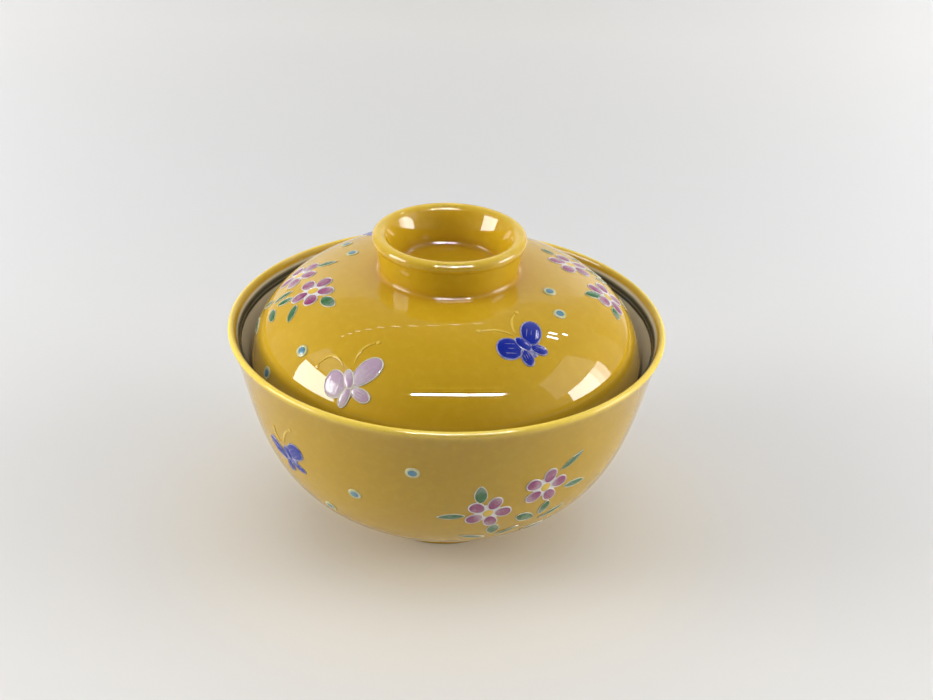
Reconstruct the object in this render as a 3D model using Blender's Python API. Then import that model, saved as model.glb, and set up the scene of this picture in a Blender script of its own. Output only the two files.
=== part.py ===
"""Lidded porcelain bowl.

A turned bowl stands on a foot ring, and a domed lid with a ring grip drops inside its flared rim.
Z is the turning axis and the foot stands on Z = 0. All lengths are in metres and angles in degrees.
"""

import math

import bpy
from mathutils import Vector
from mathutils.geometry import interpolate_bezier

# Turning
FACETS = 56
MERGE_DISTANCE = 0.00001
CURVE_STEPS = 12
ARC_STEPS = 5
SOFT_STEPS = 3

# Bowl: rim and outer wall
RIM_RADIUS = 0.0648
RIM_HEIGHT = 0.0666
LIP_RADIUS = 0.00095
LIP_FLARE = 24.0
FLARE_REACH = 0.0175
BELLY_RISE = 14.0
BELLY_REACH = 0.0388

# Bowl: inside
FLOOR_HEIGHT = 0.0091
FLOOR_REACH = 0.0593
INNER_FLARE = 28.5
INNER_FLARE_REACH = 0.0210

# Bowl: foot ring
FOOT_RADIUS = 0.0233
FOOT_NECK_RADIUS = 0.0236
FOOT_HEIGHT = 0.0066
FOOT_WIDTH = 0.0036
FOOT_EDGE_RADIUS = 0.0006
FOOT_RECESS_RADIUS = 0.0190
FOOT_RECESS_DEPTH = 0.0048
FOOT_SOFTENING = 0.0016

# Lid: heights are measured from its lower edge, which stands at LID_SEAT_HEIGHT inside the bowl
LID_SEAT_HEIGHT = 0.0532
LID_RADIUS = 0.0583
LID_EDGE_RADIUS = 0.0014
LID_SHOULDER_REACH = 0.0121
LID_CROWN_HEIGHT = 0.0295
LID_CROWN_REACH = 0.0272
LID_CROWN_FALL = 0.0008
LID_INNER_HEIGHT = 0.0261
LID_INNER_REACH = 0.0470
LID_INNER_SHOULDER_REACH = 0.0120

# Lid: ring grip
GRIP_RADIUS = 0.0225
GRIP_HEIGHT = 0.0413
GRIP_CREST_RADIUS = 0.0207
GRIP_LIP_INSIDE = 0.0025
GRIP_LIP_UNDERCUT = 45.0
GRIP_DRAW = 0.0005
GRIP_STAND = 0.0035
GRIP_LEAN = 11.0
GRIP_BASE_RADIUS = 0.0202
GRIP_RECESS_RADIUS = 0.0152
GRIP_RECESS_RISE = 11.5
GRIP_RECESS_FLARE = 27.5
GRIP_RECESS_REACH = 0.0032
GRIP_FLOOR_HEIGHT = 0.0301
GRIP_SOFTENING = 0.0016

# Finish: linear colour and roughness of the fired glaze
GLAZE_COLOUR = (0.48, 0.27, 0.03, 1.0)
GLAZE_ROUGHNESS = 0.08


def clear_scene():
    """Removes whatever objects the scene already holds."""
    for item in list(bpy.data.objects):
        bpy.data.objects.remove(item, do_unlink=True)


def direction(degrees):
    """Unit vector in the profile plane, counted from outwards towards upwards."""
    angle = math.radians(degrees)
    return Vector((math.cos(angle), math.sin(angle)))


def arc(centre, radius, start, end, steps=ARC_STEPS):
    """Points on a circle from the start angle to the end angle."""
    turns = (start + (end - start) * i / steps for i in range(steps + 1))
    return [centre + radius * direction(turn) for turn in turns]


def curve(start, start_handle, end_handle, end, steps=CURVE_STEPS):
    """Points on a cubic curve between two ends."""
    return interpolate_bezier(start, start_handle, end_handle, end, steps + 1)


def softened(before, corner, after, steps=SOFT_STEPS):
    """Points that round off a corner, from a point before it to a point after it."""
    return curve(before, before.lerp(corner, 2 / 3), after.lerp(corner, 2 / 3), after, steps)


def bowl_outline():
    """Half section of the bowl, from the inner floor over the lip and down to the foot's recess."""
    lip_centre = Vector((RIM_RADIUS - LIP_RADIUS, RIM_HEIGHT - LIP_RADIUS))
    lip = arc(lip_centre, LIP_RADIUS, 180 - INNER_FLARE, -LIP_FLARE)
    floor_centre = Vector((0, FLOOR_HEIGHT))
    inside = curve(
        floor_centre,
        Vector((FLOOR_REACH, FLOOR_HEIGHT)),
        lip[0] - INNER_FLARE_REACH * direction(90 - INNER_FLARE),
        lip[0],
    )
    neck = Vector((FOOT_NECK_RADIUS, FOOT_HEIGHT))
    outside = curve(
        lip[-1],
        lip[-1] - FLARE_REACH * direction(90 - LIP_FLARE),
        neck + BELLY_REACH * direction(BELLY_RISE),
        neck,
    )
    neck_side = Vector((FOOT_NECK_RADIUS, FOOT_HEIGHT - FOOT_SOFTENING))
    foot_neck = softened(outside[-2], neck, neck_side)
    return inside[:-1] + lip + outside[1:-2] + foot_neck + foot_outline()


def foot_outline():
    """Half section of the foot ring, from its outer edge under the land to the centre of its recess."""
    edge = FOOT_EDGE_RADIUS
    outer_edge = arc(Vector((FOOT_RADIUS - edge, edge)), edge, 0, -90, SOFT_STEPS)
    land_inside = FOOT_RADIUS - FOOT_WIDTH
    inner_edge = arc(Vector((land_inside + edge, edge)), edge, -90, -180, SOFT_STEPS)
    corner = Vector((FOOT_RECESS_RADIUS, FOOT_RECESS_DEPTH))
    below = Vector((FOOT_RECESS_RADIUS, FOOT_RECESS_DEPTH - FOOT_SOFTENING))
    beside = Vector((FOOT_RECESS_RADIUS - FOOT_SOFTENING, FOOT_RECESS_DEPTH))
    recess = softened(below, corner, beside)
    return outer_edge + inner_edge + recess + [Vector((0, FOOT_RECESS_DEPTH))]


def grip_outline(base_side):
    """Half section of the ring grip, from the centre of its recess over the lip down to its base fillet."""
    rise = direction(90 - GRIP_RECESS_RISE)
    flare = direction(90 - GRIP_RECESS_FLARE)
    floor_corner = Vector((GRIP_RECESS_RADIUS, GRIP_FLOOR_HEIGHT))
    floor_edge = floor_corner - Vector((GRIP_SOFTENING, 0))
    wall_foot = floor_corner + GRIP_SOFTENING * rise
    crest = Vector((GRIP_CREST_RADIUS, GRIP_HEIGHT))
    lip_inside = arc(crest - Vector((0, GRIP_LIP_INSIDE)), GRIP_LIP_INSIDE, 180 - GRIP_RECESS_FLARE, 90)
    wall = curve(
        wall_foot,
        wall_foot + GRIP_RECESS_REACH * rise,
        lip_inside[0] - GRIP_RECESS_REACH * flare,
        lip_inside[0],
        ARC_STEPS,
    )
    lip_outside_radius = GRIP_RADIUS - GRIP_CREST_RADIUS
    lip_outside = arc(crest - Vector((0, lip_outside_radius)), lip_outside_radius, 90, -GRIP_LIP_UNDERCUT)
    side = curve(
        lip_outside[-1],
        lip_outside[-1] + GRIP_DRAW * direction(-90 - GRIP_LIP_UNDERCUT),
        base_side + GRIP_STAND * direction(90 - GRIP_LEAN),
        base_side,
        ARC_STEPS,
    )
    recess = [Vector((0, GRIP_FLOOR_HEIGHT))] + softened(floor_edge, floor_corner, wall_foot) + wall[1:-1]
    return recess + lip_inside + lip_outside[1:] + side[1:-1]


def lid_outline():
    """Half section of the lid, from the grip over the dome and round the edge to the hollow's crown."""
    base = Vector((GRIP_BASE_RADIUS, LID_CROWN_HEIGHT))
    base_side = base + GRIP_SOFTENING * direction(90 - GRIP_LEAN)
    grip = grip_outline(base_side)
    shoulder = Vector((LID_RADIUS, LID_EDGE_RADIUS))
    dome = curve(
        base,
        base + Vector((LID_CROWN_REACH, -LID_CROWN_FALL)),
        shoulder + Vector((0, LID_SHOULDER_REACH)),
        shoulder,
    )
    base_edge = base + GRIP_SOFTENING * (dome[1] - base).normalized()
    edge_centre = shoulder - Vector((LID_EDGE_RADIUS, 0))
    edge = arc(edge_centre, LID_EDGE_RADIUS, 0, -180)
    crown = Vector((0, LID_INNER_HEIGHT))
    hollow = curve(
        edge[-1],
        edge[-1] + Vector((0, LID_INNER_SHOULDER_REACH)),
        crown + Vector((LID_INNER_REACH, 0)),
        crown,
    )
    return grip + softened(base_side, base, base_edge) + dome[1:-1] + edge + hollow[1:]


def glaze(name):
    """Glossy fired glaze."""
    material = bpy.data.materials.new(name)
    material.use_nodes = True
    shader = material.node_tree.nodes["Principled BSDF"]
    shader.inputs["Base Color"].default_value = GLAZE_COLOUR
    shader.inputs["Roughness"].default_value = GLAZE_ROUGHNESS
    shader.inputs["Metallic"].default_value = 0.0
    return material


def turned(name, outline, height):
    """A solid of revolution about Z, standing at the given height."""
    points = [(point.x, 0, point.y) for point in outline]
    links = [(i, i + 1) for i in range(len(points) - 1)]
    mesh = bpy.data.meshes.new(name)
    mesh.from_pydata(points, links, [])
    solid = bpy.data.objects.new(name, mesh)
    solid.location.z = height
    bpy.context.scene.collection.objects.link(solid)
    screw = solid.modifiers.new("Turning", "SCREW")
    screw.axis = "Z"
    screw.steps = FACETS
    screw.render_steps = FACETS
    screw.use_merge_vertices = True
    screw.merge_threshold = MERGE_DISTANCE
    screw.use_smooth_shade = True
    mesh.materials.append(glaze(name + "_glaze"))
    return solid


def main():
    clear_scene()
    turned("bowl", bowl_outline(), 0)
    turned("lid", lid_outline(), LID_SEAT_HEIGHT)


if __name__ == "__main__":
    main()
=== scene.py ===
"""Finishes a lidded porcelain bowl: glazed bodies, raised enamels edged with slip, and a plain studio.

Z is the turning axis and the bowl stands on Z = 0. Lengths are in metres. Places on a turned surface
are an angle from the front, positive towards +X, and a run along the half section.
"""

import math
from typing import NamedTuple

import bpy
from bpy.props import FloatProperty, FloatVectorProperty, PointerProperty
from mathutils import Matrix, Quaternion, Vector
from mathutils.geometry import interpolate_bezier


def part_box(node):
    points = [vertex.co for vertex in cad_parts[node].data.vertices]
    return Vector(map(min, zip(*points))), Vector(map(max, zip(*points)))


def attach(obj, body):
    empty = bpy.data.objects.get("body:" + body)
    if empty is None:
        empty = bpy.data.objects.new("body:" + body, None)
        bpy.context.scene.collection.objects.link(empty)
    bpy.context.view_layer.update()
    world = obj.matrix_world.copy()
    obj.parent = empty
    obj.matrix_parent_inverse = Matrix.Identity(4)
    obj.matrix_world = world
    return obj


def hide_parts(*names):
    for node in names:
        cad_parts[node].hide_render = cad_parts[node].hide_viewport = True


bl_info = {
    "name": "Lidded Porcelain Bowl",
    "version": (1, 0, 0),
    "blender": (4, 5, 0),
    "location": "3D View > Sidebar > Porcelain",
    "description": "Turns, glazes and enamels a lidded bowl on its measured frame",
    "category": "Add Mesh",
}

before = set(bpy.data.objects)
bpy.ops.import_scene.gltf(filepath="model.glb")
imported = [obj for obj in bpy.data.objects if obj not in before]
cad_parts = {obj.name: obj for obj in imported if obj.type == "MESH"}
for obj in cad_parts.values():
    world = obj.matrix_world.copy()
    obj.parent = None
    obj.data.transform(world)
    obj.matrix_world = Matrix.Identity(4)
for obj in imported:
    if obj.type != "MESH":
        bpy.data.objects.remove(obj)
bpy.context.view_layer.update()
BOWL_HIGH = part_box("bowl")[1]
LID_LOW, LID_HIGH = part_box("lid")

MM = 0.001
TAU = 2 * math.pi

# Spacing of the nodes in a tree
NODE_COLUMN = 220
NODE_ROW = 180
NODES_IN_COLUMN = 6

# How finely the bodies and the enamels are meshed
BODY_FACETS = 192
CURVE_STEPS = 60
ARC_STEPS = 16
SOFT_STEPS = 8
POOL_SPOKES = 28
POOL_ROWS = 10
EDGE_ROWS = 8
PROFILE_STEPS = 160
BODY_MERGE = 0.00001
DAB_MERGE = 0.000002

# How strongly the surfaces mirror their surroundings
GLAZE_IOR = 1.62
BOWL_IOR = 1.5
PAPER_IOR = 1.45

# Roughness of each finish, with what edges and fillets add to the glaze and the most that they may add
GLAZE_ROUGHNESS = 0.02
GRAIN_ROUGHNESS = 0.02
EDGE_ROUGHNESS = 0.16
MOST_EDGE_ROUGHNESS = 0.09
BARE_ROUGHNESS = 0.5
ENAMEL_ROUGHNESS = 0.05
SLIP_ROUGHNESS = 0.06
PAPER_ROUGHNESS = 0.7

# Fineness of the unevenness in each finish, in waves to the metre
GLAZE_CLOUD = 38.0
GLAZE_GRAIN = 420.0
GLAZE_SPECK = 900.0
GLAZE_RIPPLE = 95.0
BRUSH_PATCH = 520.0
BRUSH_STREAK = 1700.0
RIM_WAVER = 25.0
LINE_WAVER = 160.0
EDGE_WAVER = 110.0
BARE_GRIT = 1500.0
SLIP_CLOUD = 700.0
PAPER_CLOUD = 6.0

# How strongly the glaze's unevenness shows
GLAZE_DRIFT = 0.2
GRAIN_IN_THINNESS = 0.25
GRAIN_IN_RIPPLE = 0.04
SPECK_RANGE = (0.735, 0.80)
SPECK_STRENGTH = 0.3

# How a brush's load varies: its slope along a touch, its patches and streaks, and where it lies pale
LOAD_SLOPE = 3.2
LOAD_PATCHES = 0.8
LOAD_STREAKS = 0.5
PALE_RANGE = (0.2, 0.95)
MARGIN_RANGE = (0.05, 0.45)
MARGIN_PALENESS = 0.45
STREAKS_IN_RIPPLE = 0.3

# Depth of the faint relief in each finish
GLAZE_RELIEF = 0.04 * MM
TRAIL_RELIEF = 0.03 * MM
ENAMEL_RELIEF = 0.08 * MM
SLIP_RELIEF = 0.05 * MM

# How far glaze thins round an edge, and how much that shows on each body and on a trailed line; on the lips
# of the bowl and the grip the paler thin glaze is partly a painted highlight
THIN_REACH = 1.6 * MM
BOWL_THINNING = 1.0
LID_THINNING = 0.5
TRAIL_THINNING = 0.4

# Where the yellow ends, as a run from the lip's crest and from the lid's edge, and how it fades there
BOWL_YELLOW_END = -2.95 * MM
LID_YELLOW_END = 1.4 * MM
WHITE_FADE = 0.6 * MM
YELLOW_FADE = 0.4 * MM
LAND_FADE = 0.2 * MM

# Flowers and leaves: a leaf spreads past its drawn size, and is blunter where it is broad for its length
PETALS = 5
LEAF_SPREAD = 0.5 * MM
BROAD_LEAF = 0.33
BROAD_POINT = 0.25
SLIM_POINT = 0.7

# Veins of a wing: places across it and length along it, as shares of the wing, and their width
VEIN_PLACES = (-0.22, 0.0, 0.22)
VEIN_LENGTH = 0.55
VEIN_WIDTH = 0.3 * MM

# Rises, as shares of a slip edge's rise for the first three and of a pool's for the rest
GROUND_RISE = 0.6
HEART_RISE = 0.9
WING_GROUND_RISE = 0.8
BODY_RISE = 1.3
VEIN_RISE = 1.15
TRAIL_RISE = 0.6

# Share of a full turn by which the tone moves on from one touch to the next
TONE_STEP = 0.618

# How full an enamel pool stands, and the least width that a pointed end keeps
POOL_FULLNESS = 0.7
LEAST_WIDTH = 0.0001

# Paper: distances over which its painted light and shade change
NEAR_BOUNCE_FADE = (0.06, 0.105)
UNDER_SHADE_FADE = (0.03, 0.06)
AHEAD_SHADE_FADE = (-0.30, -0.16)
ASIDE_LIGHT_REACH = 0.45
BEHIND_SHADE_PLACE = 0.22
BEHIND_SHADE_REACH = 0.3

SENSOR_WIDTH = 36


# Settings that a user may change


def size(name, description, default):
    """A length setting."""
    return FloatProperty(name=name, description=description, default=default, unit="LENGTH", precision=5)


def turn(name, description, degrees):
    """An angle setting, given in degrees."""
    return FloatProperty(name=name, description=description, default=math.radians(degrees), subtype="ANGLE")


def level(name, description, default):
    """A strength setting."""
    return FloatProperty(name=name, description=description, default=default, min=0)


def colour(name, description, default):
    """A linear colour setting."""
    return FloatVectorProperty(
        name=name, description=description, default=default, subtype="COLOR", size=3, min=0, max=1
    )


def spot(name, description, default):
    """A place setting."""
    return FloatVectorProperty(
        name=name, description=description, default=default, subtype="XYZ", unit="LENGTH"
    )


class BowlSizes(bpy.types.PropertyGroup):
    """Half section of the bowl."""

    rim_radius: size("Rim Radius", "Outermost radius of the lip", BOWL_HIGH[0])
    rim_height: size("Rim Height", "Height of the lip's crest", BOWL_HIGH[2])
    lip_radius: size("Lip Radius", "Half the thickness of the rounded lip", 0.00095)
    lip_flare: turn("Lip Flare", "Lean of the wall at the lip, from upright", 24)
    flare_reach: size("Flare Reach", "How far the outer wall keeps the lip's lean", 0.0175)
    belly_rise: turn("Belly Rise", "Slope of the belly where it leaves the foot", 14)
    belly_reach: size("Belly Reach", "How far the belly keeps that slope", 0.0388)
    floor_height: size("Floor Height", "Height of the inner floor's centre", 0.0091)
    floor_reach: size("Floor Reach", "How far the inner floor stays level", 0.0593)
    inner_flare: turn("Inner Flare", "Lean of the inner wall at the lip, from upright", 28.5)
    inner_flare_reach: size("Inner Flare Reach", "How far the inner wall keeps the lip's lean", 0.0210)
    foot_radius: size("Foot Radius", "Outer radius of the foot ring at the land", 0.0233)
    foot_neck_radius: size("Foot Neck Radius", "Radius where the foot meets the belly", 0.0236)
    foot_height: size("Foot Height", "Height where the foot meets the belly", 0.0066)
    foot_width: size("Foot Width", "Width of the ring's land", 0.0036)
    foot_edge_radius: size("Foot Edge Radius", "Rounding of the land's edges", 0.0006)
    foot_recess_radius: size("Foot Recess Radius", "Radius of the hollow inside the ring", 0.0190)
    foot_recess_depth: size("Foot Recess Depth", "Depth of the hollow inside the ring", 0.0048)
    foot_softening: size("Foot Softening", "Reach of the fillets at the foot", 0.0016)


class LidSizes(bpy.types.PropertyGroup):
    """Half section of the lid, with heights from its lower edge."""

    seat_height: size("Seat Height", "Height of the lid's lower edge inside the bowl", LID_LOW[2])
    radius: size("Lid Radius", "Outer radius of the lid's edge", LID_HIGH[0])
    edge_radius: size("Edge Radius", "Half the thickness of the rounded edge", 0.0014)
    shoulder_reach: size("Shoulder Reach", "How far the dome's side stays upright", 0.0121)
    crown_height: size("Crown Height", "Height of the dome where it meets the grip", 0.0295)
    crown_reach: size("Crown Reach", "How far the dome's top stays nearly level", 0.0272)
    crown_fall: size("Crown Fall", "Drop of the dome's top over that reach", 0.0008)
    inner_height: size("Inner Height", "Height of the hollow's crown", 0.0261)
    inner_reach: size("Inner Reach", "How far the hollow's crown stays level", 0.0470)
    inner_shoulder_reach: size("Inner Shoulder Reach", "How far the hollow's side stays upright", 0.0120)
    grip_radius: size("Grip Radius", "Outer radius of the ring grip's lip", 0.0225)
    grip_height: size("Grip Height", "Height of the ring grip's crest", LID_HIGH[2] - LID_LOW[2])
    grip_crest_radius: size("Grip Crest Radius", "Radius of the lip's highest ring", 0.0207)
    grip_lip_inside: size("Grip Lip Inside", "Rounding of the lip towards the recess", 0.0025)
    grip_lip_undercut: turn("Grip Lip Undercut", "How far the lip curls in under itself", 45)
    grip_draw: size("Grip Draw", "How far the side keeps the lip's inward lean", 0.0005)
    grip_stand: size("Grip Stand", "How far the side stands up from the dome", 0.0035)
    grip_lean: turn("Grip Lean", "Outward lean of the side where it leaves the dome", 11)
    grip_base_radius: size("Grip Base Radius", "Radius where the grip meets the dome", 0.0202)
    grip_recess_radius: size("Grip Recess Radius", "Radius of the recess at its floor", 0.0152)
    grip_recess_rise: turn("Grip Recess Rise", "Lean of the recess wall at its floor, from upright", 11.5)
    grip_recess_flare: turn("Grip Recess Flare", "Lean of the recess wall at the lip, from upright", 27.5)
    grip_recess_reach: size("Grip Recess Reach", "How far the recess wall keeps each lean", 0.0032)
    grip_floor_height: size("Grip Floor Height", "Height of the recess floor", 0.0301)
    grip_softening: size("Grip Softening", "Reach of the fillets at the grip", 0.0016)


class EnamelSizes(bpy.types.PropertyGroup):
    """Sizes of the raised enamel and slip."""

    petal_reach: size("Petal Reach", "Distance of a petal's middle from the flower's centre", 0.0043)
    petal_length: size("Petal Length", "Length of a petal", 0.0051)
    petal_width: size("Petal Width", "Width of a petal", 0.0040)
    flower_ground: size("Flower Ground", "Diameter of the white slip under a flower", 0.0078)
    flower_heart: size("Flower Heart", "Diameter of the ochre heart", 0.0039)
    dot: size("Dot", "Diameter of a dot", 0.0031)
    trail_width: size("Trail Width", "Width of a trailed line", 0.0009)
    pool_rise: size("Pool Rise", "Height of an enamel pool", 0.00032)
    edge_width: size("Edge Width", "Width of the slip round an enamel", 0.00042)
    edge_rise: size("Edge Rise", "Height of the slip round an enamel", 0.00026)
    bedding: size("Bedding", "Depth to which enamel and slip are set into the body", 0.0001)


class Palette(bpy.types.PropertyGroup):
    """Linear colours of the fired surfaces; the bowl's yellow is darkened as painted shade and the thin
    yellow is partly a painted highlight.
    """

    yellow: colour("Yellow Glaze", "Lid's glaze where it lies evenly", (0.54, 0.325, 0.012))
    # Painted shade: the lid's yellow glaze, made darker for the bowl's wall.
    bowl_yellow_shaded: colour("Deep Yellow Glaze", "Bowl's glaze where it lies evenly", (0.461, 0.279, 0.010))
    # Real thinning of the glaze over edges, made paler still so that it is partly a painted highlight on
    # the lips.
    yellow_thin_and_highlight: colour("Thin Yellow", "Glaze where it draws thin over an edge", (0.88, 0.645, 0.095))
    yellow_pooled: colour("Pooled Yellow", "Glaze where it gathers in a hollow", (0.42, 0.19, 0.008))
    white: colour("White Glaze", "Clear glaze over the white body", (0.68, 0.66, 0.57))
    white_pooled: colour("Pooled White", "Clear glaze where it gathers", (0.56, 0.59, 0.54))
    line: colour("Painted Line", "Dark double line inside the rim", (0.018, 0.027, 0.033))
    bare: colour("Bare Porcelain", "Unglazed land of the foot", (0.68, 0.65, 0.58))
    slip: colour("White Slip", "Raised slip round the enamels", (0.68, 0.655, 0.63))
    pink: colour("Pink Enamel", "Petals", (0.25, 0.034, 0.128))
    green: colour("Green Enamel", "Leaves", (0.012, 0.118, 0.022))
    blue: colour("Blue Enamel", "Deep blue wings", (0.0015, 0.015, 0.28))
    lilac: colour("Lilac Enamel", "Pale lilac wings", (0.46, 0.32, 0.43))
    ring: colour("Dot Ring", "Slip round a dot, stained by the yellow", (0.48, 0.45, 0.15))
    turquoise: colour("Turquoise Enamel", "Dots", (0.062, 0.21, 0.30))


class Studio(bpy.types.PropertyGroup):
    """Floor with painted light and shade, lights and camera."""

    floor: colour("Floor", "Pale paper sweep", (0.67, 0.66, 0.643))
    # Painted light: the paper is made lighter towards its sides.
    floor_aside_light: colour("Floor Aside", "Paper towards its sides", (0.86, 0.86, 0.865))
    # Painted bounce light: a warm, lighter ring of paper round the foot.
    floor_near_bounce: colour("Floor Near", "Paper around the foot", (0.74, 0.71, 0.65))
    # Painted shadow: brownish paper directly under the foot.
    floor_under_shade: colour("Floor Under", "Paper under the foot", (0.72, 0.66, 0.51))
    # Painted shade: a darker band of paper just behind the bowl.
    floor_behind_shade: colour("Floor Behind", "Paper just behind the bowl", (0.585, 0.585, 0.585))
    # Painted shade: the paper in front of the view is made dark so that little light comes from the front.
    floor_ahead_shade: colour("Floor Ahead", "Paper in front of the view", (0.10, 0.10, 0.10))
    sweep_depth: size("Sweep Depth", "Distance behind the bowl where the paper turns up", 1.10)
    sweep_height: size("Sweep Height", "Height of the paper behind the bowl", 0.95)
    sweep_width: size("Sweep Width", "Width of the paper", 3.0)
    sweep_front: size("Sweep Front", "Reach of the paper in front of the bowl", 1.20)
    sweep_bend: size("Sweep Bend", "Radius of the paper's upward turn", 0.25)
    room_left: level("Room Left", "Glow of the surroundings on the left", 0.40)
    room_right: level("Room Right", "Glow of the surroundings on the right", 0.55)
    room_front: level("Room Front", "Glow of the surroundings behind the camera", 0.02)
    room_back: level("Room Back", "Glow of the surroundings behind the bowl", 0.55)
    room_top: level("Room Top", "Glow of the surroundings overhead", 0.10)
    left_panel: level("Left Panel", "Glow of the soft panel on the left", 10.0)
    right_panel: level("Right Panel", "Glow of the soft panel on the right", 9.0)
    left_hood: level("Left Hood", "Glow of the dim hood above the left panel", 0.8)
    right_hood: level("Right Hood", "Glow of the dim hood above the right panel", 0.8)
    left_wall: level("Left Wall", "Glow of the broad wall on the left", 1.2)
    right_wall: level("Right Wall", "Glow of the broad wall on the right", 1.36)
    roof: level("Roof", "Glow of the broad roof", 1.12)
    tube: level("Tube", "Glow of the long lamp above the camera", 2500.0)
    far_lamps: level("Far Lamps", "Glow of the row of lamps behind", 5.0)
    right_lamps: level("Right Lamps", "Glow of the three lamps on the right", 60.0)
    camera_place: spot("Camera Place", "Where the camera stands", (0, -0.36959, 0.26128))
    camera_yaw: turn("Camera Yaw", "Turn of the view towards +X", 0.936)
    camera_tilt: turn("Camera Tilt", "Fall of the view below level", 29.097)
    camera_roll: turn("Camera Roll", "Lean of the frame", 2.077)
    lens: FloatProperty(name="Lens", description="Focal length on the sensor", default=54.02, unit="CAMERA")


class Porcelain(bpy.types.PropertyGroup):
    """All settings of the lidded bowl."""

    bowl: PointerProperty(type=BowlSizes)
    lid: PointerProperty(type=LidSizes)
    enamel: PointerProperty(type=EnamelSizes)
    palette: PointerProperty(type=Palette)
    studio: PointerProperty(type=Studio)


# Half sections


def direction(angle):
    """Unit vector in the plane of the half section, counted from outwards towards upwards."""
    return Vector((math.cos(angle), math.sin(angle)))


def arc(centre, radius, start, end, steps=ARC_STEPS):
    """Points on a circle from the start angle to the end angle."""
    angles = (start + (end - start) * i / steps for i in range(steps + 1))
    return [centre + radius * direction(angle) for angle in angles]


def curve(start, start_handle, end_handle, end, steps=CURVE_STEPS):
    """Points on a cubic curve between two ends."""
    return interpolate_bezier(start, start_handle, end_handle, end, steps + 1)


def softened(before, corner, after):
    """Points that round off a corner, from a point before it to a point after it."""
    return curve(before, before.lerp(corner, 2 / 3), after.lerp(corner, 2 / 3), after, SOFT_STEPS)


class Outline:
    """A half section as it is drawn, with marks where the glaze thins, pools or stops."""

    def __init__(self):
        self.points = []
        self.marks = {}
        self.depths = []

    def add(self, stretch, mark=None, thin=0):
        """Joins on a stretch, naming its middle if asked, where glaze may draw thin (1) or pool (-1)."""
        middle = len(self.points) + len(stretch) // 2
        if mark:
            self.marks[mark] = middle
        if thin:
            self.depths.append((middle, thin))
        self.points += stretch

    def runs(self, origin):
        """Distance of each point along the outline from a marked point, negative before it."""
        total = [0.0]
        for before, after in zip(self.points, self.points[1:]):
            total.append(total[-1] + (after - before).length)
        start = total[self.marks[origin]]
        return [run - start for run in total]

    def thinness(self, runs, reach):
        """How thin the glaze lies at each point, from 1 over an edge to -1 in a hollow."""
        depths = [(runs[i], thin) for i, thin in self.depths]
        return [sum(thin * math.exp(-(((run - at) / reach) ** 2)) for at, thin in depths) for run in runs]


def bowl_wall(s):
    """Ends and handles of the bowl's outer wall, from the lip down to the foot."""
    lip_centre = Vector((s.rim_radius - s.lip_radius, s.rim_height - s.lip_radius))
    top = lip_centre + s.lip_radius * direction(-s.lip_flare)
    neck = Vector((s.foot_neck_radius, s.foot_height))
    lean = direction(math.pi / 2 - s.lip_flare)
    return top, top - s.flare_reach * lean, neck + s.belly_reach * direction(s.belly_rise), neck


def bowl_outline(s):
    """The bowl from its inner floor over the lip and down to the foot's recess."""
    outline = Outline()
    lip_centre = Vector((s.rim_radius - s.lip_radius, s.rim_height - s.lip_radius))
    lip = arc(lip_centre, s.lip_radius, math.pi - s.inner_flare, -s.lip_flare)
    lean = direction(math.pi / 2 - s.inner_flare)
    floor = Vector((0, s.floor_height))
    level_end = Vector((s.floor_reach, s.floor_height))
    inside = curve(floor, level_end, lip[0] - s.inner_flare_reach * lean, lip[0])
    outside = curve(*bowl_wall(s))
    neck_above = outside[-3]
    neck_below = Vector((s.foot_neck_radius, s.foot_height - s.foot_softening))
    outline.add(inside[:-1])
    outline.add(lip, "lip", thin=1)
    outline.add(outside[1:-3])
    outline.add(softened(neck_above, outside[-1], neck_below), "neck", thin=-1)
    add_foot(outline, s)
    return outline


def add_foot(outline, s):
    """Adds the foot ring, from its outer edge under the land to the centre of its recess."""
    edge = s.foot_edge_radius
    quarter = math.pi / 2
    outer_centre = Vector((s.foot_radius - edge, edge))
    inner_centre = Vector((s.foot_radius - s.foot_width + edge, edge))
    corner = Vector((s.foot_recess_radius, s.foot_recess_depth))
    below = corner - Vector((0, s.foot_softening))
    beside = corner - Vector((s.foot_softening, 0))
    outline.add(arc(outer_centre, edge, 0, -quarter, SOFT_STEPS), "land_start")
    outline.add(arc(inner_centre, edge, -quarter, -2 * quarter, SOFT_STEPS), "land_end")
    outline.add(softened(below, corner, beside), thin=-1)
    outline.add([Vector((0, s.foot_recess_depth))])


def lid_dome(s):
    """Ends and handles of the lid's dome, from the grip out to the edge."""
    base = Vector((s.grip_base_radius, s.crown_height))
    shoulder = Vector((s.radius, s.edge_radius))
    crown_run = Vector((s.crown_reach, -s.crown_fall))
    return base, base + crown_run, shoulder + Vector((0, s.shoulder_reach)), shoulder


def lid_outline(s):
    """The lid from the grip's recess over the dome and round the edge to the hollow's crown."""
    outline = Outline()
    dome = curve(*lid_dome(s))
    base = dome[0]
    base_side = base + s.grip_softening * direction(math.pi / 2 - s.grip_lean)
    add_grip(outline, s, base_side)
    base_edge = base + s.grip_softening * (dome[1] - base).normalized()
    edge_centre = dome[-1] - Vector((s.edge_radius, 0))
    edge = arc(edge_centre, s.edge_radius, 0, -math.pi)
    crown = Vector((0, s.inner_height))
    side_end = edge[-1] + Vector((0, s.inner_shoulder_reach))
    outline.add(softened(base_side, base, base_edge), "base", thin=-1)
    outline.add([point for point in dome[1:-1] if point.x > base_edge.x + BODY_MERGE])
    outline.add(edge, "edge", thin=1)
    outline.add(curve(edge[-1], side_end, crown + Vector((s.inner_reach, 0)), crown)[1:])
    rise = Vector((0, s.seat_height))
    outline.points = [point + rise for point in outline.points]
    return outline


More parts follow.
